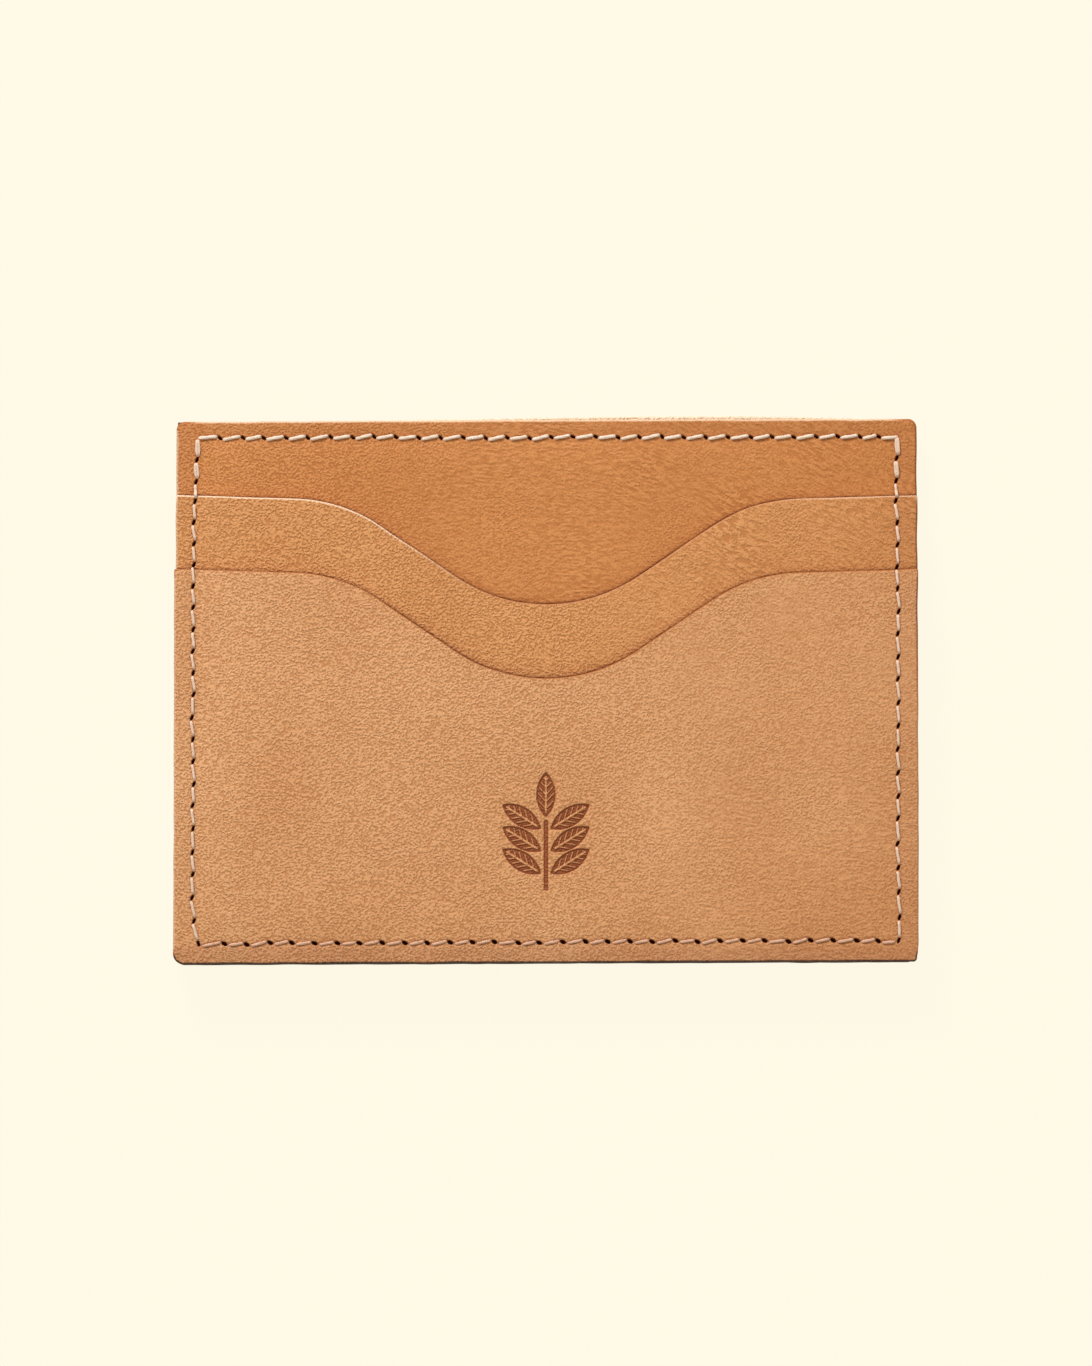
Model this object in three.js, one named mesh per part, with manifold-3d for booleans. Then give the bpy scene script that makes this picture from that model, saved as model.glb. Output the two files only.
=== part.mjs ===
// A stitched leather card holder, lying on its back: X runs across its width, Y up towards the
// pocket mouths and Z through its thickness, with the front face up. Millimetres. The origin is
// under the middle of the holder, on the surface that it rests on.
//
// Six unlined layers of leather are stacked. Each side has a base panel, an upper pocket and a
// lower pocket, and the front mirrors the rear about the middle plane. The base panels leave an
// open pocket between them. Glue lines and one U-shaped lockstitch seam join the layers round
// the sides and the bottom, and a row of stitches finishes the top of each base panel.

import * as THREE from 'three';
import { mergeGeometries, mergeVertices } from 'three/addons/utils/BufferGeometryUtils.js';
import Module from 'manifold-3d';

const wasm = await Module();
wasm.setup();

// Leather
const WIDTH = 100;
const HEIGHT = 73.3;
const LEATHER = 0.8;
const CORNER_RADIUS = 1.3;
const MOUTH_STEPS = 12;
const CORNER_STEPS = 4;

// Gaps between the layers
const GLUE_GAP = 0.12;
const CENTRE_GAP = 0.3;
const GLUE_CLEARANCE = 0.02;

// Pocket mouths: a round valley for the thumb, two straight flanks and two round shoulders,
// then a line that still rises a little to the side edge. Valley heights are above the bottom.
const UPPER_VALLEY = 48.3;
const LOWER_VALLEY = 38.3;
const VALLEY_RADIUS = 22;
const SHOULDER_RADIUS = 21.5;
const FLANK_LENGTH = 12.2;
const FLANK_ANGLE = THREE.MathUtils.degToRad(34);
const RAKE_ANGLE = THREE.MathUtils.degToRad(1.8);

// Seams: insets are from the edges to the middle of a row of holes
const SIDE_INSET = 2.7;
const BOTTOM_INSET = 2.6;
const TOP_INSET = 2.3;
const FIRST_HOLE_INSET = 3.4;
const LEFT_STITCHES = 23;
const BOTTOM_STITCHES = 31;
const RIGHT_STITCHES = 22;
const TOP_STITCHES = 32;

// Stitch holes, stitching grooves and thread
const HOLE_WIDTH = 0.56;
const GROOVE_WIDTH = 0.8;
const OUTER_GROOVE_DEPTH = 0.3;
const INNER_GROOVE_DEPTH = 0.2;
const GROOVE_OVERLAP = 0.3;
const THREAD_WIDTH = 0.5;
const THREAD_DEPTH = 0.26;
const POST_WIDTH = 0.34;
const POST_TOP_DEPTH = 0.2;
const THREAD_CLEARANCE = 0.02;
const MOUTH_CLEARANCE = 0.1;
const RISER_LENGTH = 0.4;
const DIP_LENGTH = 0.3;
const DIP_DEPTH = 0.1;

// Glue lines
const GLUE_EDGE_INSET = 0.3;
const GLUE_WIDTH = 1.7;

// Debossed leaf sprig on the front lower pocket
const SPRIG_MIDDLE = 17.9;
const SPRIG_DEPTH = 0.12;
const STEM_LENGTH = 9.5;
const STEM_WIDTH = 0.6;
const LEAF_LENGTH = 6.2;
const LEAF_WIDTH = 2.6;
const LEAF_PAIRS = 3;
const LEAF_SPACING = 3;
const LEAF_ANGLE = THREE.MathUtils.degToRad(32);
const LEAF_STEPS = 5;

// Sizes that follow from the ones above
const RIGHT = WIDTH / 2;
const TOP = HEIGHT / 2;
const BOTTOM = -HEIGHT / 2;
const SEAM_X = RIGHT - SIDE_INSET;
const BOTTOM_SEAM_Y = BOTTOM + BOTTOM_INSET;
const TOP_SEAM_Y = TOP - TOP_INSET;
const FIRST_HOLE_Y = TOP - FIRST_HOLE_INSET;
const FRONT = 1;
const REAR = -1;

// The faces of each layer, as distances from the middle plane
const BASE = { near: CENTRE_GAP / 2, far: CENTRE_GAP / 2 + LEATHER };
const UPPER = { near: BASE.far + GLUE_GAP, far: BASE.far + GLUE_GAP + LEATHER };
const LOWER = { near: UPPER.far + GLUE_GAP, far: UPPER.far + GLUE_GAP + LEATHER };
const MIDDLE_PLANE = LOWER.far;

// The mouth's corners on the right-hand side, measured from the bottom of its valley
const FLANK_START = new THREE.Vector2(
  VALLEY_RADIUS * Math.sin(FLANK_ANGLE),
  VALLEY_RADIUS * (1 - Math.cos(FLANK_ANGLE)),
);
const FLANK_END = new THREE.Vector2(
  FLANK_START.x + FLANK_LENGTH * Math.cos(FLANK_ANGLE),
  FLANK_START.y + FLANK_LENGTH * Math.sin(FLANK_ANGLE),
);
const SHOULDER_CENTRE = new THREE.Vector2(
  FLANK_END.x + SHOULDER_RADIUS * Math.sin(FLANK_ANGLE),
  FLANK_END.y - SHOULDER_RADIUS * Math.cos(FLANK_ANGLE),
);
const SHOULDER_END = new THREE.Vector2(
  SHOULDER_CENTRE.x - SHOULDER_RADIUS * Math.sin(RAKE_ANGLE),
  SHOULDER_CENTRE.y + SHOULDER_RADIUS * Math.cos(RAKE_ANGLE),
);

// The height of a mouth on its raked outer line, at a distance x from the middle
function mouthY(valley, x) {
  return BOTTOM + valley + SHOULDER_END.y + (x - SHOULDER_END.x) * Math.tan(RAKE_ANGLE);
}

// Mesh and solid conversion

function withoutIndex(geometry) {
  return geometry.index ? geometry.toNonIndexed() : geometry.clone();
}

function toSolid(geometry) {
  const bare = withoutIndex(geometry);
  bare.deleteAttribute('normal');
  bare.deleteAttribute('uv');
  const merged = mergeVertices(bare);
  return new wasm.Manifold(new wasm.Mesh({
    numProp: 3,
    vertProperties: merged.attributes.position.array,
    triVerts: new Uint32Array(merged.index.array),
  }));
}

function toGeometry(solid) {
  const mesh = solid.getMesh();
  const geometry = new THREE.BufferGeometry();
  geometry.setAttribute('position', new THREE.BufferAttribute(mesh.vertProperties, mesh.numProp));
  geometry.setIndex(new THREE.BufferAttribute(mesh.triVerts, 1));
  geometry.computeVertexNormals();
  return geometry;
}

// Basic shapes, placed by their distances from the middle plane on one side of it

function slab(shape, side, near, far, steps) {
  const geometry = new THREE.ExtrudeGeometry(shape, {
    depth: far - near,
    bevelEnabled: false,
    curveSegments: steps,
  });
  return geometry.translate(0, 0, MIDDLE_PLANE + Math.min(side * near, side * far));
}

function block(side, left, right, low, high, near, far) {
  const geometry = new THREE.BoxGeometry(right - left, high - low, far - near);
  const middle = MIDDLE_PLANE + side * (near + far) / 2;
  return geometry.translate((left + right) / 2, (low + high) / 2, middle);
}

// A small diamond-section peg at each hole
function pegs(holes, width, side, near, far) {
  return holes.map((hole) => {
    const geometry = new THREE.BoxGeometry(width, width, far - near);
    geometry.rotateZ(Math.PI / 4);
    return geometry.translate(hole.x, hole.y, MIDDLE_PLANE + side * (near + far) / 2);
  });
}

function join(geometries) {
  return geometries.map(toSolid).reduce((whole, next) => whole.add(next));
}

// Holes of the seams, evenly spaced along each row

function rowOfHoles(from, to, stitches) {
  const steps = Array.from({ length: stitches + 1 }, (_, step) => step / stitches);
  return steps.map((along) => new THREE.Vector2().lerpVectors(from, to, along));
}

const TOP_LEFT = new THREE.Vector2(-SEAM_X, FIRST_HOLE_Y);
const BOTTOM_LEFT = new THREE.Vector2(-SEAM_X, BOTTOM_SEAM_Y);
const BOTTOM_RIGHT = new THREE.Vector2(SEAM_X, BOTTOM_SEAM_Y);
const TOP_RIGHT = new THREE.Vector2(SEAM_X, FIRST_HOLE_Y);

const LEFT_HOLES = rowOfHoles(TOP_LEFT, BOTTOM_LEFT, LEFT_STITCHES);
const BOTTOM_HOLES = rowOfHoles(BOTTOM_LEFT, BOTTOM_RIGHT, BOTTOM_STITCHES);
const RIGHT_HOLES = rowOfHoles(BOTTOM_RIGHT, TOP_RIGHT, RIGHT_STITCHES);
const OUTER_SEAM_HOLES = [...LEFT_HOLES, ...BOTTOM_HOLES.slice(1), ...RIGHT_HOLES.slice(1)];
const TOP_SEAM_HOLES = rowOfHoles(
  new THREE.Vector2(-SEAM_X, TOP_SEAM_Y),
  new THREE.Vector2(SEAM_X, TOP_SEAM_Y),
  TOP_STITCHES,
);

// The face that the outer seam lies on steps down at each pocket mouth
const MOUTH_OF_LOWER = mouthY(LOWER_VALLEY, SEAM_X);
const MOUTH_OF_UPPER = mouthY(UPPER_VALLEY, SEAM_X);
const SEAM_LEVELS = [
  { low: BOTTOM_SEAM_Y, high: MOUTH_OF_LOWER, far: LOWER.far },
  { low: MOUTH_OF_LOWER, high: MOUTH_OF_UPPER, far: UPPER.far },
  { low: MOUTH_OF_UPPER, high: FIRST_HOLE_Y, far: BASE.far },
];

// Leather

function addMouth(shape, valley) {
  const floor = BOTTOM + valley;
  const shoulderY = floor + SHOULDER_CENTRE.y;
  const rightAngle = Math.PI / 2;
  shape.lineTo(RIGHT, mouthY(valley, RIGHT));
  shape.absarc(
    SHOULDER_CENTRE.x, shoulderY, SHOULDER_RADIUS,
    rightAngle + RAKE_ANGLE, rightAngle + FLANK_ANGLE, false,
  );
  shape.absarc(
    0, floor + VALLEY_RADIUS, VALLEY_RADIUS,
    -rightAngle + FLANK_ANGLE, -rightAngle - FLANK_ANGLE, true,
  );
  shape.absarc(
    -SHOULDER_CENTRE.x, shoulderY, SHOULDER_RADIUS,
    rightAngle - FLANK_ANGLE, rightAngle - RAKE_ANGLE, false,
  );
  shape.lineTo(-RIGHT, mouthY(valley, RIGHT));
}

function addRoundedTop(shape) {
  const r = CORNER_RADIUS;
  shape.absarc(RIGHT - r, TOP - r, r, 0, Math.PI / 2, false);
  shape.absarc(-RIGHT + r, TOP - r, r, Math.PI / 2, Math.PI, false);
}

function panelShape(addTop) {
  const r = CORNER_RADIUS;
  const shape = new THREE.Shape();
  shape.absarc(-RIGHT + r, BOTTOM + r, r, Math.PI, 1.5 * Math.PI, false);
  shape.absarc(RIGHT - r, BOTTOM + r, r, 1.5 * Math.PI, 2 * Math.PI, false);
  addTop(shape);
  shape.closePath();
  return shape;
}

// The outer seam's groove over the stretch of one layer that no other layer covers
function outerGroove(side, level) {
  const halfWidth = GROOVE_WIDTH / 2;
  const near = level.far - OUTER_GROOVE_DEPTH;
  const far = level.far + GROOVE_OVERLAP;
  const isLowest = level.low === BOTTOM_SEAM_Y;
  const low = level.low - (isLowest ? halfWidth : GROOVE_OVERLAP);
  const high = level.high + GROOVE_OVERLAP;
  const cuts = [-SEAM_X, SEAM_X].map(
    (x) => block(side, x - halfWidth, x + halfWidth, low, high, near, far),
  );
  if (isLowest) {
    cuts.push(block(side, -SEAM_X, SEAM_X, low, low + GROOVE_WIDTH, near, far));
  }
  return join(cuts);
}

function topGroove(side, near, far) {
  const halfWidth = GROOVE_WIDTH / 2;
  const end = SEAM_X + halfWidth;
  return toSolid(
    block(side, -end, end, TOP_SEAM_Y - halfWidth, TOP_SEAM_Y + halfWidth, near, far),
  );
}

function cutHoles(panel, holes, side, layer) {
  const near = layer.near - GROOVE_OVERLAP;
  const far = layer.far + GROOVE_OVERLAP;
  return panel.subtract(toSolid(mergeGeometries(pegs(holes, HOLE_WIDTH, side, near, far))));
}

function pocketPanel(side, layer, valley, level) {
  const shape = panelShape((outline) => addMouth(outline, valley));
  const whole = toSolid(slab(shape, side, layer.near, layer.far, MOUTH_STEPS));
  const topOfSeam = mouthY(valley, SEAM_X);
  const holes = OUTER_SEAM_HOLES.filter((hole) => hole.y < topOfSeam);
  return cutHoles(whole, holes, side, layer).subtract(outerGroove(side, level));
}

function basePanel(side) {
  const holes = [...OUTER_SEAM_HOLES, ...TOP_SEAM_HOLES];
  const shape = panelShape(addRoundedTop);
  const whole = toSolid(slab(shape, side, BASE.near, BASE.far, CORNER_STEPS));
  return cutHoles(whole, holes, side, BASE)
    .subtract(outerGroove(side, SEAM_LEVELS[2]))
    .subtract(topGroove(side, BASE.far - OUTER_GROOVE_DEPTH, BASE.far + GROOVE_OVERLAP))
    .subtract(topGroove(side, 0, BASE.near + INNER_GROOVE_DEPTH));
}

// Leaf sprig: one leaf at the tip of the stem and pairs of leaves down its sides

function leafShape(x, y, angle) {
  const across = new THREE.Vector2(0, LEAF_WIDTH).rotateAround(new THREE.Vector2(), angle);
  const root = new THREE.Vector2(x, y);
  const tip = new THREE.Vector2(LEAF_LENGTH, 0).rotateAround(new THREE.Vector2(), angle).add(root);
  const middle = root.clone().add(tip).multiplyScalar(0.5);
  const oneSide = middle.clone().add(across);
  const otherSide = middle.clone().sub(across);
  const shape = new THREE.Shape();
  shape.moveTo(root.x, root.y);
  shape.quadraticCurveTo(otherSide.x, otherSide.y, tip.x, tip.y);
  shape.quadraticCurveTo(oneSide.x, oneSide.y, root.x, root.y);
  return shape;
}

function sprig() {
  const foot = BOTTOM + SPRIG_MIDDLE - (STEM_LENGTH + LEAF_LENGTH) / 2;
  const halfStem = STEM_WIDTH / 2;
  const near = LOWER.far - SPRIG_DEPTH;
  const far = LOWER.far + GROOVE_OVERLAP;
  const leaves = [leafShape(0, foot + STEM_LENGTH + halfStem, Math.PI / 2)];
  for (let pair = 0; pair < LEAF_PAIRS; pair += 1) {
    const y = foot + STEM_LENGTH - (pair + 0.5) * LEAF_SPACING;
    leaves.push(leafShape(STEM_WIDTH, y, LEAF_ANGLE));
    leaves.push(leafShape(-STEM_WIDTH, y, Math.PI - LEAF_ANGLE));
  }
  const marks = leaves.map((leaf) => slab(leaf, FRONT, near, far, LEAF_STEPS));
  marks.push(block(FRONT, -halfStem, halfStem, foot, foot + STEM_LENGTH, near, far));
  return toSolid(mergeGeometries(marks.map(withoutIndex)));
}

// Glue: a U-shaped line outside the stitches, from one side's mouth round to the other's

function glueShape(topY) {
  const outer = RIGHT - GLUE_EDGE_INSET;
  const inner = outer - GLUE_WIDTH;
  const low = BOTTOM + GLUE_EDGE_INSET;
  const r = CORNER_RADIUS - GLUE_EDGE_INSET;
  const shape = new THREE.Shape();
  shape.absarc(-outer + r, low + r, r, Math.PI, 1.5 * Math.PI, false);
  shape.absarc(outer - r, low + r, r, 1.5 * Math.PI, 2 * Math.PI, false);
  shape.lineTo(outer, topY);
  shape.lineTo(inner, topY);
  shape.lineTo(inner, low + GLUE_WIDTH);
  shape.lineTo(-inner, low + GLUE_WIDTH);
  shape.lineTo(-inner, topY);
  shape.lineTo(-outer, topY);
  shape.closePath();
  return shape;
}

function glueLine(side, near, far, mouth) {
  const shape = glueShape(mouth - GLUE_EDGE_INSET);
  return slab(shape, side, near + GLUE_CLEARANCE, far - GLUE_CLEARANCE, CORNER_STEPS);
}

// Thread

// The stitches of the outer seam on one face, stepping over the pocket mouths
function outerStitches(side) {
  const half = THREAD_WIDTH / 2;
  const blocks = [];
  SEAM_LEVELS.forEach((level, index) => {
    const far = level.far - THREAD_CLEARANCE;
    const near = far - THREAD_DEPTH;
    const above = SEAM_LEVELS[index + 1];
    const low = index ? level.low + MOUTH_CLEARANCE : level.low - half;
    const high = above ? level.high + MOUTH_CLEARANCE + RISER_LENGTH : level.high + half;
    for (const x of [-SEAM_X, SEAM_X]) {
      blocks.push(block(side, x - half, x + half, low, high, near, far));
      if (above) {
        const foot = above.far - THREAD_CLEARANCE - THREAD_DEPTH;
        const start = level.high + MOUTH_CLEARANCE;
        blocks.push(block(side, x - half, x + half, start, high, foot, far));
      }
    }
    if (!index) {
      blocks.push(block(side, -SEAM_X, SEAM_X, low, level.low + half, near, far));
    }
  });
  return join(blocks);
}

function faceAt(hole) {
  return SEAM_LEVELS.find((level) => hole.y <= level.high).far;
}

// A cut across a row of stitches at each hole, where the thread dives into the leather
function dips(holes, side, farAt) {
  const half = DIP_LENGTH / 2;
  const cuts = holes.map((hole) => {
    const far = farAt(hole);
    const near = far - THREAD_CLEARANCE - DIP_DEPTH;
    const isOnSide = LEFT_HOLES.includes(hole) || RIGHT_HOLES.includes(hole);
    const halfX = isOnSide ? THREAD_WIDTH : half;
    const halfY = isOnSide ? half : THREAD_WIDTH;
    return block(
      side, hole.x - halfX, hole.x + halfX, hole.y - halfY, hole.y + halfY, near, far,
    );
  });
  return toSolid(mergeGeometries(cuts));
}

// The needle thread also passes down through every hole to the bobbin thread
function outerNeedleThread() {
  const posts = OUTER_SEAM_HOLES.flatMap((hole) => {
    const bobbin = faceAt(hole) - THREAD_CLEARANCE - THREAD_DEPTH;
    const needle = faceAt(hole) - POST_TOP_DEPTH;
    return pegs([hole], POST_WIDTH, FRONT, THREAD_CLEARANCE - bobbin, needle);
  });
  return outerStitches(FRONT)
    .subtract(dips(OUTER_SEAM_HOLES, FRONT, faceAt))
    .add(toSolid(mergeGeometries(posts)));
}

function outerBobbinThread() {
  return outerStitches(REAR).subtract(dips(OUTER_SEAM_HOLES, REAR, faceAt));
}

function topStitches(side, far) {
  const half = THREAD_WIDTH / 2;
  const end = SEAM_X + half;
  const near = far - THREAD_DEPTH;
  return toSolid(block(side, -end, end, TOP_SEAM_Y - half, TOP_SEAM_Y + half, near, far));
}

function topBobbinFar() {
  return BASE.near + INNER_GROOVE_DEPTH - THREAD_CLEARANCE;
}

function topNeedleThread(side) {
  const far = BASE.far - THREAD_CLEARANCE;
  const near = topBobbinFar() + THREAD_CLEARANCE;
  const posts = pegs(TOP_SEAM_HOLES, POST_WIDTH, side, near, BASE.far - POST_TOP_DEPTH);
  return topStitches(side, far)
    .subtract(dips(TOP_SEAM_HOLES, side, () => BASE.far))
    .add(toSolid(mergeGeometries(posts)));
}

function topBobbinThread(side) {
  return topStitches(side, topBobbinFar());
}

// Materials

function leather(colour) {
  return new THREE.MeshStandardMaterial({ color: colour, roughness: 0.6, metalness: 0 });
}

const LOWER_LEATHER = leather(0xd49a66);
const UPPER_LEATHER = leather(0xd09360);
const BASE_LEATHER = leather(0xc88652);
const THREAD = new THREE.MeshStandardMaterial({ color: 0xdcc8b4, roughness: 0.75, metalness: 0 });
const GLUE = new THREE.MeshStandardMaterial({ color: 0x6b4a32, roughness: 0.5, metalness: 0 });

// The assembly

const holder = new THREE.Group();

function addPiece(name, geometry, material) {
  const mesh = new THREE.Mesh(geometry, material);
  mesh.name = name;
  holder.add(mesh);
}

for (const [word, side] of [['front', FRONT], ['rear', REAR]]) {
  const lower = pocketPanel(side, LOWER, LOWER_VALLEY, SEAM_LEVELS[0]);
  const upper = pocketPanel(side, UPPER, UPPER_VALLEY, SEAM_LEVELS[1]);
  const stamped = side === FRONT ? lower.subtract(sprig()) : lower;
  addPiece(`${word}_lower_pocket`, toGeometry(stamped), LOWER_LEATHER);
  addPiece(`${word}_upper_pocket`, toGeometry(upper), UPPER_LEATHER);
  addPiece(`${word}_base_panel`, toGeometry(basePanel(side)), BASE_LEATHER);
  addPiece(
    `${word}_lower_pocket_glue`,
    glueLine(side, UPPER.far, LOWER.near, MOUTH_OF_LOWER),
    GLUE,
  );
  addPiece(
    `${word}_upper_pocket_glue`,
    glueLine(side, BASE.far, UPPER.near, MOUTH_OF_UPPER),
    GLUE,
  );
  addPiece(`${word}_top_seam_needle_thread`, toGeometry(topNeedleThread(side)), THREAD);
  addPiece(`${word}_top_seam_bobbin_thread`, toGeometry(topBobbinThread(side)), THREAD);
}
addPiece('centre_glue', glueLine(FRONT, -BASE.near, BASE.near, TOP), GLUE);
addPiece('outer_seam_needle_thread', toGeometry(outerNeedleThread()), THREAD);
addPiece('outer_seam_bobbin_thread', toGeometry(outerBobbinThread()), THREAD);

export default holder;
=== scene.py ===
"""Looks of a stitched leather card holder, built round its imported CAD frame.

The holder lies on its back: X runs across it, Y up towards the pocket mouths and Z out of the
front face. Shapes are worked out in millimetres and written to Blender in metres.
"""
import math

import bpy
import numpy as np
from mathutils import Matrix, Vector


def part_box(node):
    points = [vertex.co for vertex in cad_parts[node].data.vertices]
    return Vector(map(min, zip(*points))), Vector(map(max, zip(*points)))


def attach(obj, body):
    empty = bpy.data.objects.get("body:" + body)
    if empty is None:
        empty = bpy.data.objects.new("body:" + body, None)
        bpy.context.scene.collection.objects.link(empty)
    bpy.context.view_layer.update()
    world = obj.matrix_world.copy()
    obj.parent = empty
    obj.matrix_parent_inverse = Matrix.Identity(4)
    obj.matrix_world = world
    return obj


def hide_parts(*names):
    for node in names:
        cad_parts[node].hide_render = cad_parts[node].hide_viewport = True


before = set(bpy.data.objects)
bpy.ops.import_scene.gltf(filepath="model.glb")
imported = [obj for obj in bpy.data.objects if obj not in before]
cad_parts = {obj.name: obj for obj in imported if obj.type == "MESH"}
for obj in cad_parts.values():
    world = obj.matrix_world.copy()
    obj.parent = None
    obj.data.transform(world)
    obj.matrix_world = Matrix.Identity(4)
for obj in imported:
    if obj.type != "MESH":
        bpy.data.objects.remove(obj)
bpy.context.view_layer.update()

MM = 0.001
FAR = 99.0                               # in mm, further off than any feature matters
FRONT, REAR = 1, -1
WORDS = {FRONT: "front", REAR: "rear"}


# ---------------------------------------------------------------- sizes from the frame

def box_mm(node):
    """The low and high corners of a node's box in the frame."""
    low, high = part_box(node)
    return np.array(low) / MM, np.array(high) / MM


THREAD_HALF = 0.25                       # half the width of the frame's thread bars
BASE_LOW, BASE_HIGH = box_mm("front_base_panel")
LEFT, BOTTOM, _ = BASE_LOW
RIGHT, TOP, _ = BASE_HIGH
SEAM_LOW, SEAM_HIGH = box_mm("outer_seam_needle_thread")
SEAM_X = SEAM_HIGH[0] - THREAD_HALF
BOTTOM_SEAM_Y = SEAM_LOW[1] + THREAD_HALF
TOP_SEAM_Y = box_mm("front_top_seam_needle_thread")[1][1] - THREAD_HALF

# Pocket mouths, as in the frame: valley, straight flanks, shoulders, and a line to the edge
VALLEY_RADIUS = 22.0
SHOULDER_RADIUS = 21.5
FLANK_LENGTH = 12.2
FLANK_ANGLE = math.radians(34)
RAKE_ANGLE = math.radians(1.8)
FLANK_START_X = VALLEY_RADIUS * math.sin(FLANK_ANGLE)
FLANK_START_Y = VALLEY_RADIUS * (1 - math.cos(FLANK_ANGLE))
FLANK_END_X = FLANK_START_X + FLANK_LENGTH * math.cos(FLANK_ANGLE)
FLANK_END_Y = FLANK_START_Y + FLANK_LENGTH * math.sin(FLANK_ANGLE)
SHOULDER_X = FLANK_END_X + SHOULDER_RADIUS * math.sin(FLANK_ANGLE)
SHOULDER_Y = FLANK_END_Y - SHOULDER_RADIUS * math.cos(FLANK_ANGLE)
SHOULDER_END_X = SHOULDER_X - SHOULDER_RADIUS * math.sin(RAKE_ANGLE)
SHOULDER_END_Y = SHOULDER_Y + SHOULDER_RADIUS * math.cos(RAKE_ANGLE)
MOUTH_RISE = SHOULDER_END_Y + (RIGHT - SHOULDER_END_X) * math.tan(RAKE_ANGLE)

# The front swells a little towards the open middle pocket; the rear lies flat
CROWN = 0.7

# The top and bottom edges were trimmed a quarter of a degree off the rest
EDGE_SKEW = 0.0042


def smooth(low, high, x):
    """0 at low, 1 at high, and a smooth step between them."""
    t = np.clip((x - low) / (high - low), 0, 1)
    return t * t * (3 - 2 * t)


def bell(distance, width):
    """1 at no distance, falling to about a third at a distance of width."""
    return np.exp(-(distance / width) ** 2)


def mouth_y(side_y, x):
    """The height of a pocket's mouth at x, for a mouth that meets the side edge at side_y."""
    x = np.abs(x)
    valley = VALLEY_RADIUS - np.sqrt(np.maximum(VALLEY_RADIUS ** 2 - x ** 2, 0))
    flank = FLANK_START_Y + (x - FLANK_START_X) * math.tan(FLANK_ANGLE)
    arc = np.maximum(SHOULDER_RADIUS ** 2 - (x - SHOULDER_X) ** 2, 0)
    shoulder = SHOULDER_Y + np.sqrt(arc)
    outer = SHOULDER_END_Y + (x - SHOULDER_END_X) * math.tan(RAKE_ANGLE)
    rise = np.select(
        [x < FLANK_START_X, x < FLANK_END_X, x < SHOULDER_END_X],
        [valley, flank, shoulder],
        outer,
    )
    return side_y - MOUTH_RISE + rise


def mouth_lean(x):
    """Cosine of the mouth's slope at x, which turns a height above it into a distance."""
    x = np.abs(x)
    valley = np.minimum(x / VALLEY_RADIUS, math.sin(FLANK_ANGLE))
    shoulder = np.clip((SHOULDER_X - x) / SHOULDER_RADIUS, 0, 1)
    return np.sqrt(1 - np.where(x < FLANK_END_X, valley, shoulder) ** 2)


def crown(side, x, y):
    """How far the layers of one side stand out from the frame's flat ones."""
    if side == REAR:
        return np.zeros(np.broadcast(x, y).shape)
    across = np.maximum(1 - (x / SEAM_X) ** 2, 0) ** 1.5
    return CROWN * across * smooth(BOTTOM_SEAM_Y, TOP, y)


def waves(seed, wavelength, count=28):
    """A smooth random field of x and y with a spread of 1 and bumps about a wavelength apart."""
    rng = np.random.default_rng(seed)
    turn = rng.uniform(0, 2 * math.pi, count)
    rate = 2 * math.pi / wavelength * rng.uniform(0.6, 1.3, count)
    phase = rng.uniform(0, 2 * math.pi, count)

    def field(x, y):
        x, y = np.asarray(x, float), np.asarray(y, float)
        total = np.zeros(np.broadcast(x, y).shape)
        for a, k, p in zip(turn, rate, phase):
            total += np.cos(k * (x * math.cos(a) + y * math.sin(a)) + p)
        return total * math.sqrt(2 / count)

    return field


# ---------------------------------------------------------------- meshes and objects

def make_object(name, points_mm, faces, material, attributes, replaces):
    """A smooth piece that rides the holder, with a value at each point for each attribute."""
    mesh = bpy.data.meshes.new(name)
    mesh.from_pydata((np.asarray(points_mm) * MM).tolist(), [], faces)
    mesh.update()
    mesh.polygons.foreach_set("use_smooth", np.ones(len(mesh.polygons), bool))
    for key, values in attributes.items():
        layer = mesh.attributes.new(key, "FLOAT", "POINT")
        layer.data.foreach_set("value", np.asarray(values, np.float32))
    mesh.materials.append(material)
    made = bpy.data.objects.new(name, mesh)
    bpy.context.scene.collection.objects.link(made)
    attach(made, "root")
    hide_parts(*replaces)


# ---------------------------------------------------------------- stitch rows

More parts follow.
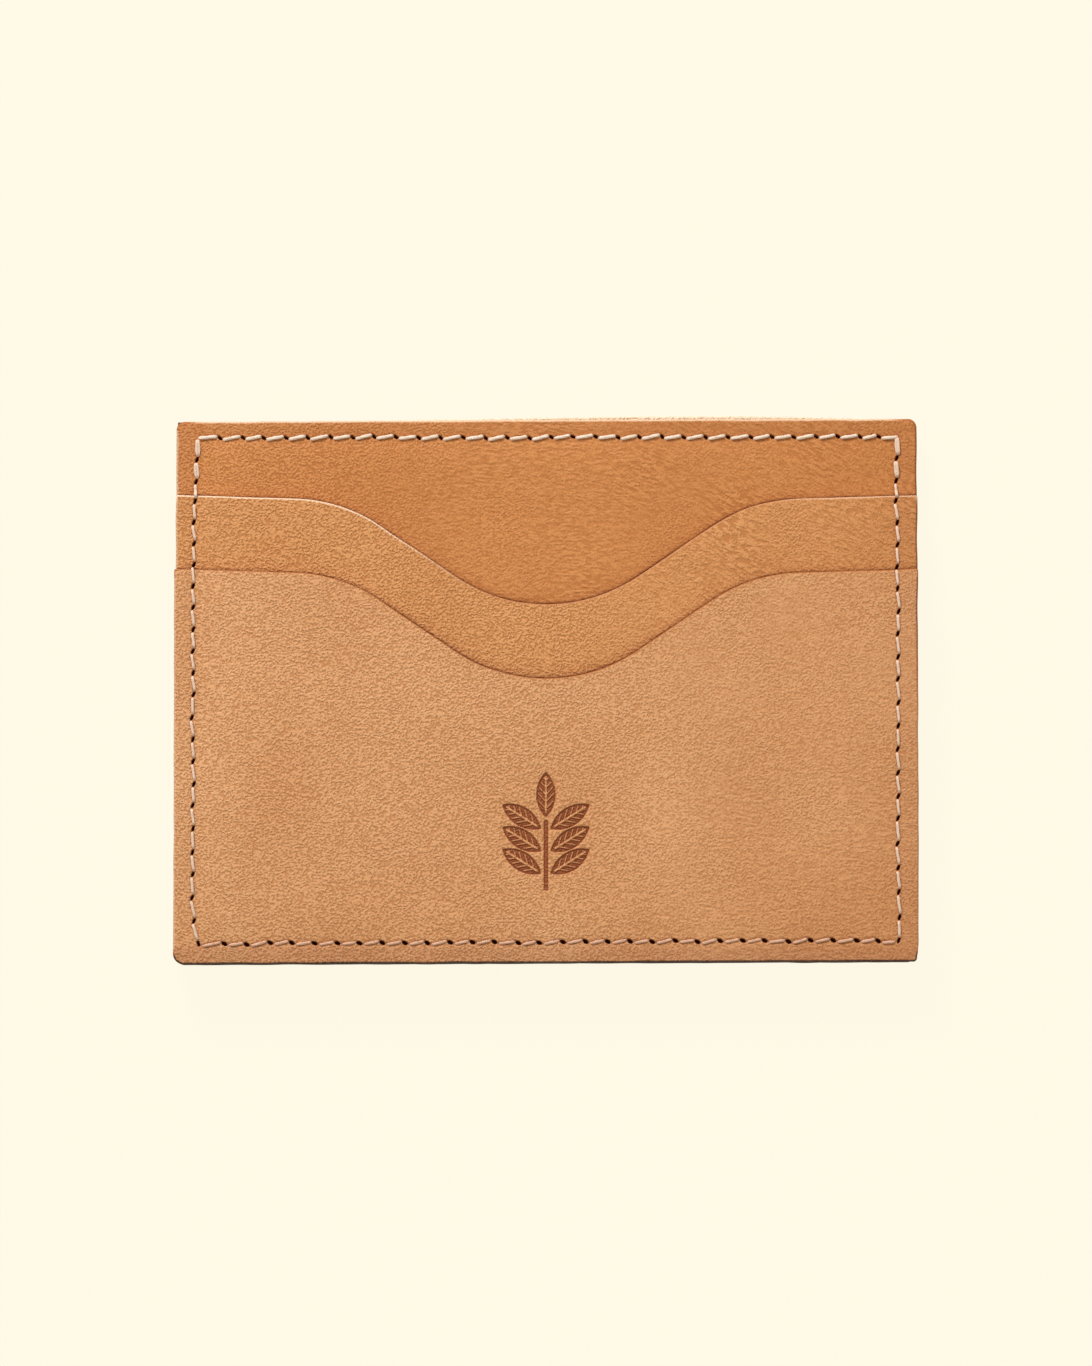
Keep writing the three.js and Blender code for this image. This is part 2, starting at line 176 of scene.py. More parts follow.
class Row:
    """A row of slanted stitch holes.

    A stitch runs from one hole's far end to the next one's near end. Its reach is how far its
    ends lie from the middle of the hole, along the hole's length and, at its start, along the row.
    """

    def __init__(self, seed, holes, along, slant, slit, thread, proud, reach, corner_leans=()):
        rng = np.random.default_rng(seed)
        self.holes = np.array(holes, float)
        self.holes[1:-1] += rng.normal(0, HOLE_JITTER, (len(holes) - 2, 2))
        self.along = np.array(along, float)
        self.slit = slit                 # half length and half width of a hole
        self.thread = thread             # radius of the thread
        self.proud = proud               # height of the thread's middle over the leather
        slants = slant + rng.normal(0, SLANT_JITTER, len(holes))
        for index, angle in corner_leans:
            slants[index] = angle
        turn = np.radians(-slants)
        self.lean = np.stack([
            self.along[0] * np.cos(turn) - self.along[1] * np.sin(turn),
            self.along[0] * np.sin(turn) + self.along[1] * np.cos(turn),
        ], 1)
        self.starts = self.holes[:-1] + self.lean[:-1] * reach[0] + self.along * reach[1]
        self.ends = self.holes[1:] - self.lean[1:] * reach[0] - self.along * STITCH_END_GAP
        self.cut = np.ones(len(holes))   # 0 where the row leaves a hole out
        self.marks = self.holes @ self.along

    def stitch_distance(self, x, y):
        """Distance from each point to the nearest stitch."""
        at = x * self.along[0] + y * self.along[1]
        k = np.clip(np.searchsorted(self.marks, at) - 1, 0, len(self.starts) - 1)
        a, b = self.starts[k], self.ends[k]
        d = b - a
        t = ((x - a[..., 0]) * d[..., 0] + (y - a[..., 1]) * d[..., 1]) / (d ** 2).sum(-1)
        t = np.clip(t, 0, 1)
        return np.hypot(x - a[..., 0] - t * d[..., 0], y - a[..., 1] - t * d[..., 1])

    def hole_offset(self, x, y):
        """Offset from the nearest hole, along the hole's length and across it."""
        middles = (self.marks[1:] + self.marks[:-1]) / 2
        k = np.searchsorted(middles, x * self.along[0] + y * self.along[1])
        hole, lean = self.holes[k], self.lean[k]
        dx, dy = x - hole[..., 0], y - hole[..., 1]
        far = FAR * (1 - self.cut[k])
        return dx * lean[..., 0] + dy * lean[..., 1] + far, dy * lean[..., 0] - dx * lean[..., 1]

    def hole_metric(self, x, y):
        """1 on the rim of the nearest hole, less inside it."""
        p, n = self.hole_offset(x, y)
        return np.sqrt((p / self.slit[0]) ** 2 + (n / self.slit[1]) ** 2)


def spaced(count, first):
    """Places from 0 to 1 of holes whose gaps grow evenly from the first, a share of the mean."""
    k = np.arange(count + 1) / count
    return first * k + (1 - first) * k ** 2


# Counts and spacings of the holes as on the real holder
LEFT_STITCHES, BOTTOM_STITCHES, RIGHT_STITCHES, TOP_STITCHES = 23, 31, 22, 32
LEFT_FIRST_GAP, RIGHT_FIRST_GAP = 0.947, 0.935
BOTTOM_FIRST_GAP, BOTTOM_LAST_GAP = 3.46, 2.75
TOP_LAST_GAPS = (2.44, 2.64)
CORNER_INSET = 0.7                       # the left bottom corner's hole sits inwards
LEFT_TOP_INSETS = (0.4, 0.3, 0.2, 0.08)  # so do the first holes of the left column
LEFT_OUTSET, LEFT_LAST_INSET = 0.1, 0.2  # the rest of it stands out, but for its last hole
LEFT_TOP_DROP, RIGHT_TOP_RISE = 0.25, 0.1
TOP_ROW_INSET, TOP_ROW_OUTSET = 0.4, 0.2
BOTTOM_ROW_LIFT, BOTTOM_ROW_SKEW = 0.3, 0.0045
TOP_ROW_DROP, TOP_ROW_SKEW = 0.12, 0.0018
HOLE_JITTER, SLANT_JITTER = 0.06, 4.0
STITCH_END_GAP = 0.06


def column(x, stitches, first_gap, top_y, bottom_y):
    """The holes of a side seam, from the top down."""
    y = top_y + (bottom_y - top_y) * spaced(stitches, first_gap)
    return np.stack([np.full(stitches + 1, x), y], 1)


def line_of_holes(x, y, skew):
    """Holes at each x of a row that climbs by skew to the right."""
    return np.stack([x, y + skew * x], 1)


def make_rows():
    """The four rows of holes: one hole at each bottom corner, and none at the top ones."""
    bottom_y = BOTTOM_SEAM_Y + BOTTOM_ROW_LIFT
    top_y = TOP_SEAM_Y - TOP_ROW_DROP
    left_foot = bottom_y - BOTTOM_ROW_SKEW * SEAM_X
    right_foot = bottom_y + BOTTOM_ROW_SKEW * SEAM_X
    left_top, right_top = top_y - LEFT_TOP_DROP, top_y + RIGHT_TOP_RISE
    left = column(-SEAM_X - LEFT_OUTSET, LEFT_STITCHES, LEFT_FIRST_GAP, left_top, left_foot)
    left[:len(LEFT_TOP_INSETS), 0] += LEFT_TOP_INSETS
    left[-1, 0] += CORNER_INSET + LEFT_OUTSET
    left[-2, 0] += LEFT_LAST_INSET
    right = column(SEAM_X, RIGHT_STITCHES, RIGHT_FIRST_GAP, right_top, right_foot)[::-1]
    first = -SEAM_X + CORNER_INSET
    bottom_x = np.concatenate([
        [first],
        np.linspace(first + BOTTOM_FIRST_GAP, SEAM_X - BOTTOM_LAST_GAP, BOTTOM_STITCHES - 1),
        [SEAM_X],
    ])
    top_end = SEAM_X + TOP_ROW_OUTSET
    top_x = np.concatenate([
        np.linspace(-SEAM_X + TOP_ROW_INSET, top_end - sum(TOP_LAST_GAPS), TOP_STITCHES - 1),
        [top_end - TOP_LAST_GAPS[1], top_end],
    ])
    rows = {
        "left": Row(
            1, left, (0, -1), slant=21, slit=(0.42, 0.2), thread=0.2, proud=0.0,
            reach=(0.4, 0.04), corner_leans=[(-1, -14)],
        ),
        "bottom": Row(
            2, line_of_holes(bottom_x, bottom_y, BOTTOM_ROW_SKEW), (1, 0), slant=30,
            slit=(0.42, 0.27), thread=0.2, proud=-0.08,
            reach=(0.42, 0.2), corner_leans=[(0, 62), (-1, -20)],
        ),
        "right": Row(
            3, right, (0, 1), slant=20, slit=(0.42, 0.2), thread=0.2, proud=0.0,
            reach=(0.4, 0.04),
        ),
        "top": Row(
            4, line_of_holes(top_x, top_y, TOP_ROW_SKEW), (1, 0), slant=40,
            slit=(0.38, 0.21), thread=0.225, proud=0.03, reach=(0.36, 0.06),
        ),
    }
    rows["bottom"].cut[[0, -1]] = 0
    rows["left"].cut[0] = 0
    rows["right"].cut[-1] = 0
    rows["top"].cut[[0, -1]] = 0
    for name in ("left", "top"):
        rows[name].starts[0] = rows[name].holes[0]
    for name in ("right", "top"):
        rows[name].ends[-1] = rows[name].holes[-1]
    return rows


ROWS = make_rows()
SIDE_ROWS = [ROWS["left"], ROWS["bottom"], ROWS["right"]]


# ---------------------------------------------------------------- leather panels

class Panel:
    """One leather layer: its outline, its faces and what lies over it."""

    def __init__(self, node, side, rows, mouth=None, cover=None, seed=0):
        low, high = box_mm(node)
        self.node, self.side, self.rows, self.seed = node, side, rows, seed
        self.face = high[2] if side == FRONT else low[2]
        self.back = low[2] if side == FRONT else high[2]
        self.mouth = mouth               # where its own mouth meets the side edge, or None
        self.cover = cover               # the same of the mouth that lies over it, or None
        self.left_trim = 0.0             # how far its edges stand in from the frame's
        self.bottom_trim = 0.0
        self.top_trim = 0.0
        self.top_bulge = 0.0             # how far its top edge rises, right of the middle
        self.right_bulge = 0.0           # how far its right edge stands out, low down
        self.corner_slant = 0.0          # how far the bottom right corner is cut in
        self.corner = (1.3, 1.3)         # radii of the bottom left and bottom right corners
        self.stamp = False
        self.wrinkled = (0.0, 0.0)       # how far its grain draws out, level and slanted
        self.rough_edge = waves(seed + 50, 7.0)


COLUMNS, LINES = 2048, 1024
CELL = (RIGHT - LEFT) / COLUMNS
OUTLINE_CELL = 2                         # lattice steps between points of an outline
TOP_CORNER, MOUTH_CORNER = 1.2, 0.3
OUTER_ROUND, UPPER_MOUTH_ROUND, LOWER_MOUTH_ROUND = 0.28, 0.24, 0.16
EDGE_WOBBLE = 0.022
CELL_REACH = 0.75                        # how far a cell reaches from its middle, in its sizes
GROWTH = 0.45                            # how fast cells may grow away from a feature
FINEST, FINE, MEDIUM, COARSE, HIDDEN = 0.05, 0.11, 0.22, 0.85, 3.2
EDGE_BAND, INNER_EDGE_BAND, MOUTH_BAND, STITCH_BAND, STAMP_BAND = 0.4, 0.2, 0.6, 0.5, 0.06
COVERED = -1.2                           # further than this under a mouth nothing is seen


def top_line(panel, x):
    """The y of a panel's top edge at x: its mouth, or the slightly bulged edge of a base panel."""
    if panel.mouth is not None:
        line = mouth_y(panel.mouth, x)
    else:
        along = np.clip((x - LEFT) / (RIGHT - LEFT), 0, 1)
        bulge = np.sin(math.pi * along ** 1.7) ** 1.3
        line = TOP - panel.top_trim + EDGE_SKEW * x + panel.top_bulge * bulge
    return line + EDGE_WOBBLE * 0.7 * panel.rough_edge(x, 90.0)


def side_lines(panel, y):
    """The x of a panel's left and right edges at y."""
    left = LEFT + panel.left_trim - EDGE_WOBBLE * panel.rough_edge(y, 10.0)
    right = RIGHT + EDGE_WOBBLE * panel.rough_edge(y, 40.0)
    right = right + panel.right_bulge * smooth(5, -8, y)
    right = right - panel.corner_slant * smooth(BOTTOM + 3.2, BOTTOM, y)
    return left, right


def place(panel, u, v):
    """x, y and the distance to the outline of a panel's points, with u and v from 0 to 1."""
    x = LEFT + (RIGHT - LEFT) * u
    high = top_line(panel, x)
    low = BOTTOM + panel.bottom_trim + EDGE_SKEW * x
    low = low - EDGE_WOBBLE * panel.rough_edge(x, 70.0)
    reach = high - low
    left, right = side_lines(panel, low + v * reach)
    x = left + (right - left) * u
    from_top, from_bottom = (1 - v) * reach, v * reach
    from_side = np.minimum(x - left, right - x)
    is_left = u < 0.5
    lean = mouth_lean(x) if panel.mouth is not None else 1.0
    distance = np.minimum(np.minimum(from_side, from_bottom), from_top * lean)
    top_radius = TOP_CORNER if panel.mouth is None else MOUTH_CORNER
    for near, radius, is_top in (
        (is_left, panel.corner[0], False),
        (~is_left, panel.corner[1], False),
        (u >= 0, top_radius, True),      # both of the top corners
    ):
        from_end = from_top if is_top else from_bottom
        inside = near & (from_side < radius) & (from_end < radius)
        a = np.where(inside, (radius - from_side) / radius, 0)
        b = np.where(inside, (radius - from_end) / radius, 0)
        a, b = a * np.sqrt(1 - b ** 2 / 2), b * np.sqrt(1 - a ** 2 / 2)
        from_side = np.where(inside, radius * (1 - a), from_side)
        from_end = np.where(inside, radius * (1 - b), from_end)
        distance = np.where(inside, radius * (1 - np.hypot(a, b)), distance)
        if is_top:
            from_top = from_end
        else:
            from_bottom = from_end
    y = np.where(v < 0.5, low + from_bottom, high - from_top)
    x = np.where(is_left, left + from_side, right - from_side)
    return x, y, np.maximum(distance, 0)


def above_cover(panel, x, y):
    """Distance above the mouth that lies over this panel, below zero where it is hidden."""
    if panel.cover is None:
        return np.full(np.broadcast(x, y).shape, FAR)
    return (y - mouth_y(panel.cover, x)) * mouth_lean(x)


# The debossed sprig: leaves along a stem, with a raised rib and veins on each leaf
SPRIG_MIDDLE = 17.9
STEM_LENGTH, STEM_HALF = 9.5, 0.3
LEAF_LENGTH, LEAF_HALF = 6.2, 1.3
LEAF_PAIRS, LEAF_SPACING = 3, 3.0
LEAF_ANGLE = math.radians(32)
RIB_HALF, VEIN_HALF, VEIN_SPACING = 0.13, 0.055, 0.95
STAMP_DEPTH = 0.14
STAMP_BLUR = 0.07


def leaf_distance(x, y, root, angle):
    """Signed distance to a leaf of two arcs, less its rib and its veins."""
    dx, dy = x - root[0], y - root[1]
    p = dx * math.cos(angle) + dy * math.sin(angle) - LEAF_LENGTH / 2
    n = dy * math.cos(angle) - dx * math.sin(angle)
    radius = (LEAF_LENGTH ** 2 / 4 + LEAF_HALF ** 2) / (2 * LEAF_HALF)
    offset = radius - LEAF_HALF
    body = np.maximum(np.hypot(p, n - offset), np.hypot(p, n + offset)) - radius
    rib = np.hypot(np.maximum(np.abs(p) - LEAF_LENGTH * 0.38, 0), n) - RIB_HALF
    along = (p - 1.1 * np.abs(n)) / VEIN_SPACING
    vein = np.abs(along - np.round(along)) * VEIN_SPACING * 0.67 - VEIN_HALF
    vein = np.maximum(vein, body + 0.28)
    return np.maximum(body, -np.minimum(rib, vein))


def stamp_distance(x, y):
    """Signed distance to the sprig, below zero inside it."""
    foot = BOTTOM + SPRIG_MIDDLE - (STEM_LENGTH + LEAF_LENGTH) / 2
    tip = foot + STEM_LENGTH
    stem = np.hypot(x, y - np.clip(y, foot, tip - 0.6)) - STEM_HALF
    nearest = np.minimum(stem, leaf_distance(x, y, (0, tip), math.pi / 2))
    for pair in range(LEAF_PAIRS):
        root_y = tip - (pair + 0.5) * LEAF_SPACING
        for sign, angle in ((1, LEAF_ANGLE), (-1, math.pi - LEAF_ANGLE)):
            nearest = np.minimum(nearest, leaf_distance(x, y, (0.6 * sign, root_y), angle))
    return nearest


def cell_limit(distance, reach, size, near):
    """The largest cell allowed: size within near of a feature, and growing away from it."""
    return size + GROWTH * np.maximum(distance - near - reach, 0)


def outer_limit(panel, x, y, edge, reach):
    """The largest cells of an outer face: fine at edges, mouths, stitches, holes and the stamp."""
    over = above_cover(panel, x, y)
    features = [(edge, FINE, EDGE_BAND), (np.abs(over), MEDIUM, MOUTH_BAND)]
    for row in panel.rows:
        features.append((row.stitch_distance(x, y), MEDIUM, STITCH_BAND))
        features.append((np.hypot(*row.hole_offset(x, y)), FINE, STITCH_BAND))
    if panel.stamp:
        features.append((np.abs(stamp_distance(x, y)), FINEST, STAMP_BAND))
    limit = COARSE
    for distance, size, near in features:
        limit = np.minimum(limit, cell_limit(distance, reach, size, near))
    return np.where(over < COVERED - reach, np.maximum(limit, HIDDEN), limit)


def inner_limit(panel, x, y, edge, reach):
    """The largest cells of an inner face, which is fine at its edges only."""
    return np.minimum(HIDDEN, cell_limit(edge, reach, FINE, INNER_EDGE_BAND))


def split_cells(panel, limit):
    """Square cells of the panel's lattice, halved until each is as small as limit says."""
    size = LINES
    i, j = np.arange(0, COLUMNS, size), np.zeros(COLUMNS // size, int)
    kept = []
    while size > 1:
        x, y, edge = place(panel, (i + size / 2) / COLUMNS, (j + size / 2) / LINES)
        reach = size * CELL * CELL_REACH
        on_outline = (i == 0) | (j == 0) | (i + size == COLUMNS) | (j + size == LINES)
        too_big = size * CELL > limit(panel, x, y, edge, reach)
        split = np.where(on_outline, size > OUTLINE_CELL, too_big)
        kept.append((i[~split], j[~split], size))
        size //= 2
        i, j = (
            np.concatenate([i[split] + a * size for a in (0, 1, 0, 1)]),
            np.concatenate([j[split] + b * size for b in (0, 0, 1, 1)]),
        )
    kept.append((i, j, 1))
    return kept


def sheet_of(panel, limit):
    """Lattice points and polygons of one face, with neighbours of unlike size joined."""
    stride = LINES + 1
    cells = split_cells(panel, limit)
    points = np.unique(np.concatenate([
        (i + a * size) * stride + j + b * size
        for i, j, size in cells for a in (0, 1) for b in (0, 1)
    ]))
    polygons = []
    for i, j, size in cells:
        step = np.arange(size)
        i, j = i[:, None], j[:, None]
        still = np.zeros(size, int)
        ring_i = np.concatenate([i + step, i + size + still, i + size - step, i + still], 1)
        ring_j = np.concatenate([j + still, j + step, j + size + still, j + size - step], 1)
        keys = ring_i * stride + ring_j
        used = np.isin(keys, points)
        index = np.searchsorted(points, keys)
        plain = used.sum(1) == 4
        polygons += index[plain][used[plain]].reshape(-1, 4).tolist()
        polygons += [row[mask].tolist() for row, mask in zip(index[~plain], used[~plain])]
    return points, polygons


def outline_keys():
    """The lattice points of the outline, in order round the panel."""
    across = np.arange(0, COLUMNS, OUTLINE_CELL)
    up = np.arange(0, LINES, OUTLINE_CELL)
    i = np.concatenate([across, up * 0 + COLUMNS, COLUMNS - across, up * 0])
    j = np.concatenate([across * 0, up, across * 0 + LINES, LINES - up])
    return i * (LINES + 1) + j


HOLE_DEPTH, DEEPEST = 0.7, 0.73          # a hole stops short of the panel's inner face
SINK = {FRONT: 0.0, REAR: -0.2}          # the outermost rear stitches stay off the table
LONG_WAVE, LONG_WAVE_HEIGHT = 16.0, 0.02
SHORT_WAVE, SHORT_WAVE_HEIGHT = 5.0, 0.008
SWELL, SWELL_TOP, SWELL_END = 0.1, 3.5, 12
SEAM_DIP, SEAM_DIP_WIDTH = 0.06, 0.9
LEAST_GROOVE, DEEPEST_GROOVE = 0.03, 0.5
LIP_HEIGHT, LIP_PLACE, LIP_WIDTH = 0.03, 1.5, 0.4
STAMP_SAG, STAMP_SAG_WIDTH = 0.05, 0.5
# a band just inside the sprig's outline is darker: the stamp's scorch, and painted shade at its
# walls
SCORCH_SHADE_PLACE, SCORCH_SHADE_WIDTH = 0.12, 0.14


def edge_round(panel, x, y):
    """The radius of the rounding at the edge of a panel."""
    if panel.mouth is None:
        return OUTER_ROUND
    high = top_line(panel, x)
    own = UPPER_MOUTH_ROUND if panel.cover is not None else LOWER_MOUTH_ROUND
    return OUTER_ROUND + (own - OUTER_ROUND) * smooth(high - 1.5, high - 0.5, y)


def relief(panel, x, y, edge):
    """Height of a panel's outer face over the frame's, and masks for its material."""
    radius = edge_round(panel, x, y)
    rim = np.clip(radius - edge, 0, radius)
    height = -(radius - np.sqrt(radius ** 2 - rim ** 2))
    long_waves, short_waves = waves(panel.seed, LONG_WAVE), waves(panel.seed + 1, SHORT_WAVE)
    height += LONG_WAVE_HEIGHT * long_waves(x, y) + SHORT_WAVE_HEIGHT * short_waves(x, y)
    inside = np.minimum(SEAM_X - np.abs(x), y - BOTTOM_SEAM_Y)
    if panel.mouth is None:
        inside = np.minimum(inside, TOP_SEAM_Y - y)
    swell = smooth(0.3, SWELL_TOP, inside) - 0.6 * smooth(SWELL_TOP, SWELL_END, inside)
    height += SWELL * swell - SWELL / 2
    height -= SEAM_DIP * bell(inside, SEAM_DIP_WIDTH)
    seam, hole = np.zeros(x.shape), np.zeros(x.shape)
    for row in panel.rows:
        gap = row.stitch_distance(x, y)
        depth = row.thread * 0.5 - row.proud - SINK[panel.side]
        height -= np.clip(depth, LEAST_GROOVE, DEEPEST_GROOVE) * bell(gap, row.thread * 1.2)
        metric = row.hole_metric(x, y)
        height -= HOLE_DEPTH * (1 - smooth(0.62, 1.08, metric))
        height += LIP_HEIGHT * bell(metric - LIP_PLACE, LIP_WIDTH)
        seam = np.maximum(seam, bell(gap, row.thread * 1.6))
        # the hole mask: where the inside of a hole is painted near black, as painted shade in its
        # depth
        hole = np.maximum(hole, 1 - smooth(0.86, 1.18, metric))
    stamp, scorch_and_shade = np.zeros(x.shape), np.zeros(x.shape)
    if panel.stamp:
        gap = stamp_distance(x, y)
        stamp = 1 - smooth(-STAMP_BLUR, STAMP_BLUR, gap)
        # the darker band inside the outline: scorch, and painted shade at the walls
        scorch_and_shade = stamp * bell(gap + SCORCH_SHADE_PLACE, SCORCH_SHADE_WIDTH)
        height -= STAMP_DEPTH * stamp + STAMP_SAG * bell(gap, STAMP_SAG_WIDTH)
    height = np.maximum(height, -DEEPEST)
    level, slanted = wrinkles(panel, x, y)
    return height, {
        "edge": np.clip(1 - edge / (1.8 * radius), 0, 1),
        "seam": seam,
        "hole": hole,
        "stamp": stamp,
        "scorch_and_shade": scorch_and_shade,
        "contact_shade": contact_shade(panel, x, y),
        "shade": shade(panel, x, y),
        "margin": margin(panel, x, y),
        "level_grain": level,
        "slanted_grain": slanted,
    }


def contact_shade(panel, x, y):
    """Painted shade on a panel where the mouth over it touches it: a dark line in the crevice and
    a softer shadow above it.
    """
    if panel.cover is None:
        return np.zeros(x.shape)
    over = np.maximum(above_cover(panel, x, y), 0)
    line = 0.95 if panel.mouth is None else 0.8
    dark = line * bell(over, 0.17) + np.exp(-over / 0.75) * (0.1 + 0.22 * bell(x, 22.0))
    return np.clip(dark, 0, 1)


# In these, toward is x as seen by someone who faces the panel
def wrinkles(panel, x, y):
    """How strongly the grain draws out into level folds, and into folds that fall to the right."""
    toward = x * panel.side
    patch = 0.75 + 0.25 * waves(panel.seed + 20, 14.0)(x, y)
    most_level, most_slanted = panel.wrinkled
    if panel.cover is None:
        level = most_level * smooth(0, 30, toward) * (0.45 + 0.55 * smooth(12, -22, y))
        slanted = most_slanted * smooth(5, 30, toward) * smooth(-15, 5, y)
    else:
        level = most_level * bell(toward - 3, 20.0)
        slanted = most_slanted * smooth(0, 22, toward)
    return np.clip(level * patch, 0, 1), np.clip(slanted * patch, 0, 1)


def shade(panel, x, y):
    """How much darker a panel is painted, mostly towards its right and its bottom; a band just
    inside its left seam is painted lighter, a painted highlight where the swell there faces the
    light.
    """
    toward = x * panel.side
    dark = 0.25 * smooth(10, 46, toward) + 0.22 * smooth(-8, -34, y)
    dark = dark + 0.3 * smooth(18, 46, toward) * smooth(-12, -32, y)
    # the band just inside the left seam is a painted highlight on the swell
    dark = dark - 0.22 * bell(toward + 43.5, 3.5) + 0.1 * waves(panel.seed + 30, 22.0)(x, y)
    if panel.cover is not None:
        dark = dark - 0.2 * bell(toward, 18.0) * smooth(25, 5, y)
    if panel.mouth is None:
        dark = dark + 0.3 * bell(toward + 32, 14.0)
    return np.clip(0.25 + dark, 0, 1)


SIDE_MARGIN, POCKET_LEFT_MARGIN = 0.4, 0.05


def margin(panel, x, y):
    """How much the strip outside the seams has darkened: most of all along the bottom."""
    toward = x * panel.side
    left = SIDE_MARGIN if panel.mouth is None else POCKET_LEFT_MARGIN
    sides = np.where(toward < 0, left, SIDE_MARGIN)
    strip = sides * smooth(-0.3, 0.5, np.abs(x) - SEAM_X)
    strip = np.maximum(strip, smooth(-0.3, 0.9, BOTTOM_SEAM_Y - y))
    if panel.mouth is None:
        strip = np.maximum(strip, SIDE_MARGIN * smooth(-0.3, 0.5, y - TOP_SEAM_Y))
    return strip


def edge_lightness(panel, x, y):
    """1 where the cut edge is raw and pale, 0 where it is burnished dark; along the bottom the
    dark is burnish and also painted shade, where the edges face away from the light.
    """
    toward = x * panel.side
    high = top_line(panel, x)
    # the bottom edges go near black: burnished, and painted shade
    at_bottom = smooth(BOTTOM + 2.2, BOTTOM + 0.8, y)
    at_top = smooth(high - 1.6, high - 0.5, y)
    low_down = smooth(8, -5, y)
    worn = 0.22 + 0.35 * low_down
    if panel.side == FRONT:
        side = np.where(x < 0, 0.72, worn)
    else:
        side = np.where(x < 0, worn, 0.3 + 0.6 * low_down)
    if panel.mouth is None:
        top = 1.0 if panel.side == REAR else 0.8
        top = top - 0.5 * smooth(46, 49, np.abs(x))
    elif panel.cover is not None:
        top = 0.92 - 0.42 * smooth(-27, -4, toward) + 0.2 * smooth(26, 40, toward)
    else:
        top = 0.36 - 0.06 * smooth(-10, 25, toward)
    return np.clip((side + (top - side) * at_top) * (1 - at_bottom), 0, 1)


INNER_ROUND = 0.12                       # the rounding of an inner face's edge
INNER_SHADE = 0.4


def build_panel(panel, material):
    """A panel's outer and inner faces on their own lattices, joined round the outline."""
    stride = LINES + 1
    parts, faces, attributes = [], [], {}
    start = 0
    loops = []
    for is_outer, limit in ((True, outer_limit), (False, inner_limit)):
        keys, polygons = sheet_of(panel, limit)
        x, y, edge = place(panel, (keys // stride) / COLUMNS, (keys % stride) / LINES)
        height, marks = relief(panel, x, y, edge)
        if is_outer:
            if panel.side == REAR:
                height = np.minimum(height, 0)
            z = panel.face + panel.side * height
        else:
            rim = np.clip(INNER_ROUND - edge, 0, INNER_ROUND)
            drop = INNER_ROUND - np.sqrt(INNER_ROUND ** 2 - rim ** 2)
            z = panel.back + panel.side * drop
            marks = {key: values * 0 for key, values in marks.items()}
            marks["edge"] = 1 - smooth(0.9, 1.4, edge)
            marks["shade"] += INNER_SHADE
        z = z + crown(panel.side, x, y)
        marks["pale"] = edge_lightness(panel, x, y)
        marks["back"] = np.zeros(x.shape) if is_outer else 1 - marks["edge"]
        parts.append(np.stack([x, y, z], 1))
        flip = is_outer == (panel.side == REAR)
        order = -1 if flip else 1
        faces += [[start + p for p in polygon[::order]] for polygon in polygons]
        for key, values in marks.items():
            attributes.setdefault(key, []).append(values)
        loops.append(start + np.searchsorted(keys, outline_keys()))
        start += len(keys)
    outer, inner = loops
    rim = np.stack([inner, np.roll(inner, -1), np.roll(outer, -1), outer], 1)
    faces += (rim if panel.side == FRONT else rim[:, ::-1]).tolist()
    joined = {key: np.concatenate(values) for key, values in attributes.items()}
    make_object(
        panel.node + "_leather", np.concatenate(parts), faces, material,
        attributes=joined, replaces=[panel.node],
    )


# ---------------------------------------------------------------- thread

PLY_SECTION, PLY_STEPS = 12, 22
PLY_DEPTH = 0.1
FLATTENED = 0.7                          # a thread's height over its width
PLY_TWIST = 2 * math.pi / 1.4            # radians per mm, counted for all three plies
DIVE = 0.75                              # how deep the ends of a stitch go into its holes


def rope(path, radius, phase):
    """Points and faces of a three-ply thread along a path, with closed ends."""
    tangent = np.gradient(path, axis=0)
    tangent /= np.linalg.norm(tangent, axis=1)[:, None]
    run = path[-1] - path[0]
    across = np.array([run[1], -run[0], 0]) / math.hypot(run[0], run[1])
    up = np.cross(across, tangent)
    travelled = np.concatenate([[0], np.cumsum(np.linalg.norm(np.diff(path, axis=0), axis=1))])
    turn = np.arange(PLY_SECTION) * 2 * math.pi / PLY_SECTION
    plies = np.cos(3 * turn[None] + travelled[:, None] * PLY_TWIST + phase)
    end = np.minimum(travelled, travelled[-1] - travelled)
    size = (radius * (0.78 + 0.22 * smooth(0, 0.9, end)))[:, None] * (1 + PLY_DEPTH * plies)
    ring = (
        path[:, None]
        + across * (size * np.cos(turn))[..., None]
        + up[:, None] * (size * FLATTENED * np.sin(turn))[..., None]
    )
    count = len(path)
    points = np.concatenate([ring.reshape(-1, 3), path[:1], path[-1:]])
    first, last = count * PLY_SECTION, count * PLY_SECTION + 1
    tail = (count - 1) * PLY_SECTION
    faces = []
    for m in range(PLY_SECTION):
        n = (m + 1) % PLY_SECTION
        for a in range(0, tail, PLY_SECTION):
            b = a + PLY_SECTION
            faces.append([a + m, b + m, b + n, a + n])
        faces.append([first, m, n])
        faces.append([last, tail + n, tail + m])
    return points, faces


def face_level(side, x, y):
    """The face that a seam lies on, stepping down smoothly just past each mouth."""
    level = np.zeros(np.shape(x))
    for kind in ("base_panel", "upper_pocket", "lower_pocket"):
        low, high = box_mm(f"{WORDS[side]}_{kind}")
        face = high[2] if side == FRONT else low[2]
        below = 1 - smooth(0.12, 0.75, y - mouth_y(high[1], x))
        level += (face - level) * (1 if kind == "base_panel" else below)
    return level


def stitch_steps():
    """Places along a stitch, closer together at its ends."""
    return 0.5 - 0.5 * np.cos(np.linspace(0, math.pi, PLY_STEPS))


